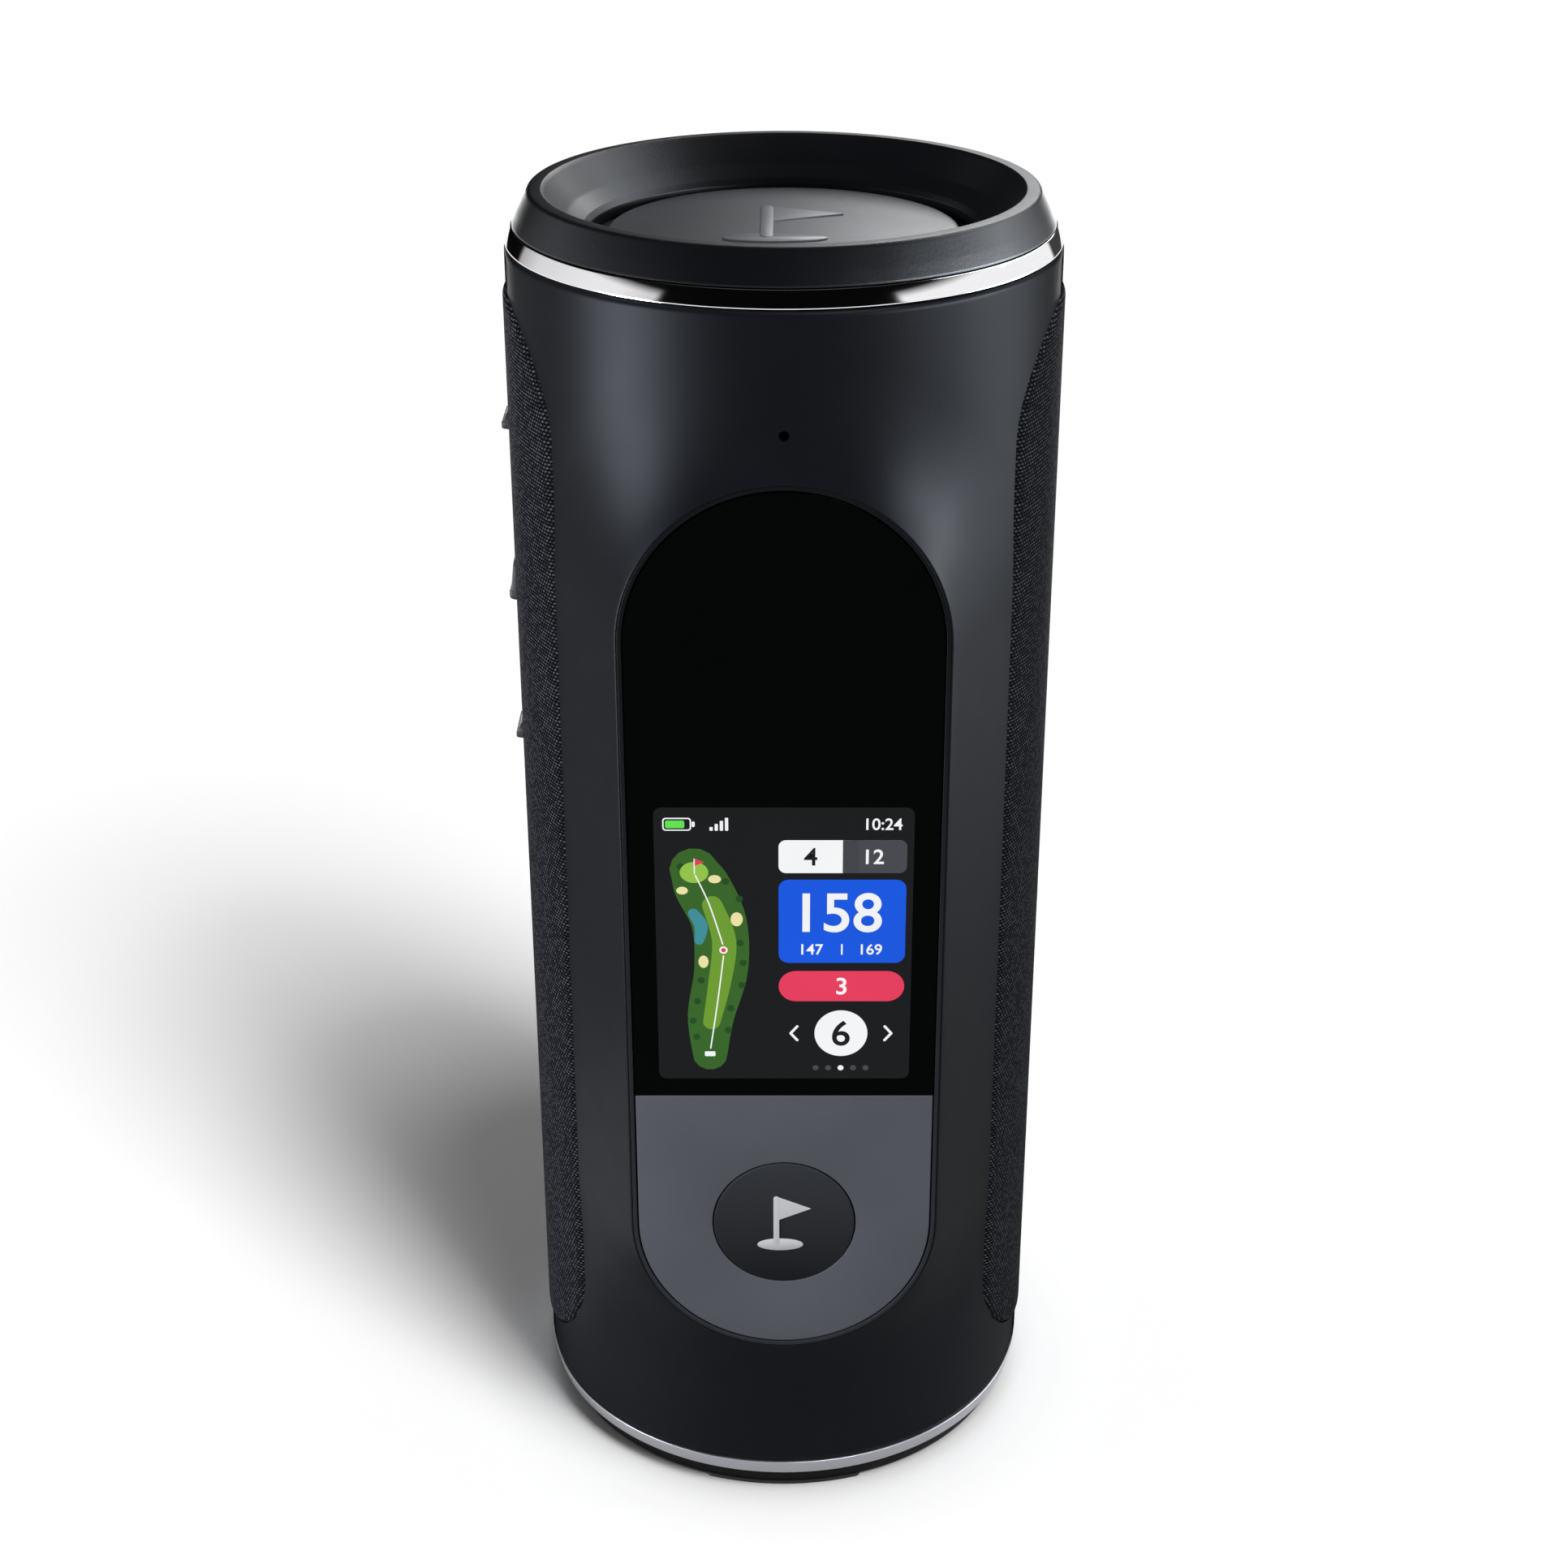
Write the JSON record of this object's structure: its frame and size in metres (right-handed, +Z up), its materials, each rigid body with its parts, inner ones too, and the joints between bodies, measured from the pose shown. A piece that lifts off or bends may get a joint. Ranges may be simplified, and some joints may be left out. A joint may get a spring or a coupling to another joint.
{
  "type": "portable golf gps speaker",
  "caption": "Free-standing can-shaped portable speaker with a golf GPS display and push button on a flat front face, cloth side grilles and passive radiators in its ends.",
  "frame": {"origin": "on the floor under the body's axis, level with the bottom of the feet", "axes": "+Z up along the body's axis; the display faces -Y, so the keys are on the -X side"},
  "size_m": [0.0839, 0.082, 0.2077],
  "materials": {
    "shell": "fine matte",
    "bumper": "satin",
    "chrome": "polished",
    "satin_trim": "satin",
    "cloth": "fine diagonal weave",
    "glass": "polished black",
    "plate": "satin",
    "button": "satin",
    "keys": "matte",
    "disc": "satin",
    "soft_rubber": "matte",
    "inner_plastic": "moulded",
    "cone": "pressed",
    "steel": "plain",
    "screen": "smooth",
    "board": "lacquered",
    "cell": "shrink wrap",
    "ceramic": "fired"
  },
  "bodies": {
    "body": {"housing": "shell", "face_bezel": "shell", "top_bumper": "bumper", "base_bumper": "bumper", "top_trim_ring": "chrome", "bottom_trim_ring": "satin_trim", "left_fabric": "cloth", "right_fabric": "cloth", "left_grille": "inner_plastic", "right_grille": "inner_plastic", "display_glass": "glass", "control_plate": "plate", "display_module": "screen", "display_board": "board", "main_button_switch": "steel", "side_switch_board": "board", "microphone": "steel", "top_radiator_frame": "inner_plastic", "bottom_radiator_frame": "inner_plastic", "top_radiator_surround": "soft_rubber", "bottom_radiator_surround": "soft_rubber", "left_driver_basket": "inner_plastic", "right_driver_basket": "inner_plastic", "left_driver_magnet": "steel", "right_driver_magnet": "steel", "left_driver_surround": "soft_rubber", "right_driver_surround": "soft_rubber", "chassis": "inner_plastic", "battery_cell_left": "cell", "battery_cell_right": "cell", "main_board": "board", "usb_port": "steel", "gps_antenna": "ceramic", "top_screw_1": "steel", "top_screw_2": "steel", "top_screw_3": "steel", "top_screw_4": "steel", "bottom_screw_1": "steel", "bottom_screw_2": "steel", "bottom_screw_3": "steel", "bottom_screw_4": "steel"},
    "main_button": {"main_button": "button"},
    "volume_up_key": {"volume_up_key": "keys"},
    "play_key": {"play_key": "keys"},
    "volume_down_key": {"volume_down_key": "keys"},
    "top_radiator": {"top_radiator_disc": "disc"},
    "bottom_radiator": {"bottom_radiator_disc": "disc"},
    "left_cone": {"left_driver_cone": "cone"},
    "right_cone": {"right_driver_cone": "cone"},
    "port_cover": {"port_cover": "bumper"}
  },
  "joints": [
    {"name": "main_button_press", "type": "slide", "parent": "body", "child": "main_button", "axis": [0, 1, 0], "range_m": [0, 0.0005], "stiffness_N_per_m": 400},
    {"name": "volume_up_press", "type": "slide", "parent": "body", "child": "volume_up_key", "axis": [1, 0, 0], "range_m": [0, 0.0005], "stiffness_N_per_m": 400},
    {"name": "play_press", "type": "slide", "parent": "body", "child": "play_key", "axis": [1, 0, 0], "range_m": [0, 0.0005], "stiffness_N_per_m": 400},
    {"name": "volume_down_press", "type": "slide", "parent": "body", "child": "volume_down_key", "axis": [1, 0, 0], "range_m": [0, 0.0005], "stiffness_N_per_m": 400},
    {"name": "top_radiator_travel", "type": "slide", "parent": "body", "child": "top_radiator", "axis": [0, 0, 1], "range_m": [-0.0015, 0.0015], "stiffness_N_per_m": 2000, "deforming": ["top_radiator_surround"]},
    {"name": "bottom_radiator_travel", "type": "slide", "parent": "body", "child": "bottom_radiator", "axis": [0, 0, 1], "range_m": [-0.0015, 0.0015], "stiffness_N_per_m": 2000, "deforming": ["bottom_radiator_surround"]},
    {"name": "left_cone_travel", "type": "slide", "parent": "body", "child": "left_cone", "axis": [-1, 0, 0], "range_m": [-0.0015, 0.0015], "stiffness_N_per_m": 2000, "deforming": ["left_driver_surround"]},
    {"name": "right_cone_travel", "type": "slide", "parent": "body", "child": "right_cone", "axis": [1, 0, 0], "range_m": [-0.0015, 0.0015], "stiffness_N_per_m": 2000, "deforming": ["right_driver_surround"]},
    {"name": "port_cover_hinge", "type": "hinge", "parent": "body", "child": "port_cover", "pos_m": [0, 0.0402, 0.02405], "axis": [-1, 0, 0], "range_deg": [0, 95], "stiffness_Nm_per_rad": 0.001}
  ],
  "couplings": [
    {"joint": "bottom_radiator_travel", "follows": "top_radiator_travel", "ratio": -1},
    {"joint": "right_cone_travel", "follows": "left_cone_travel", "ratio": 1}
  ]
}
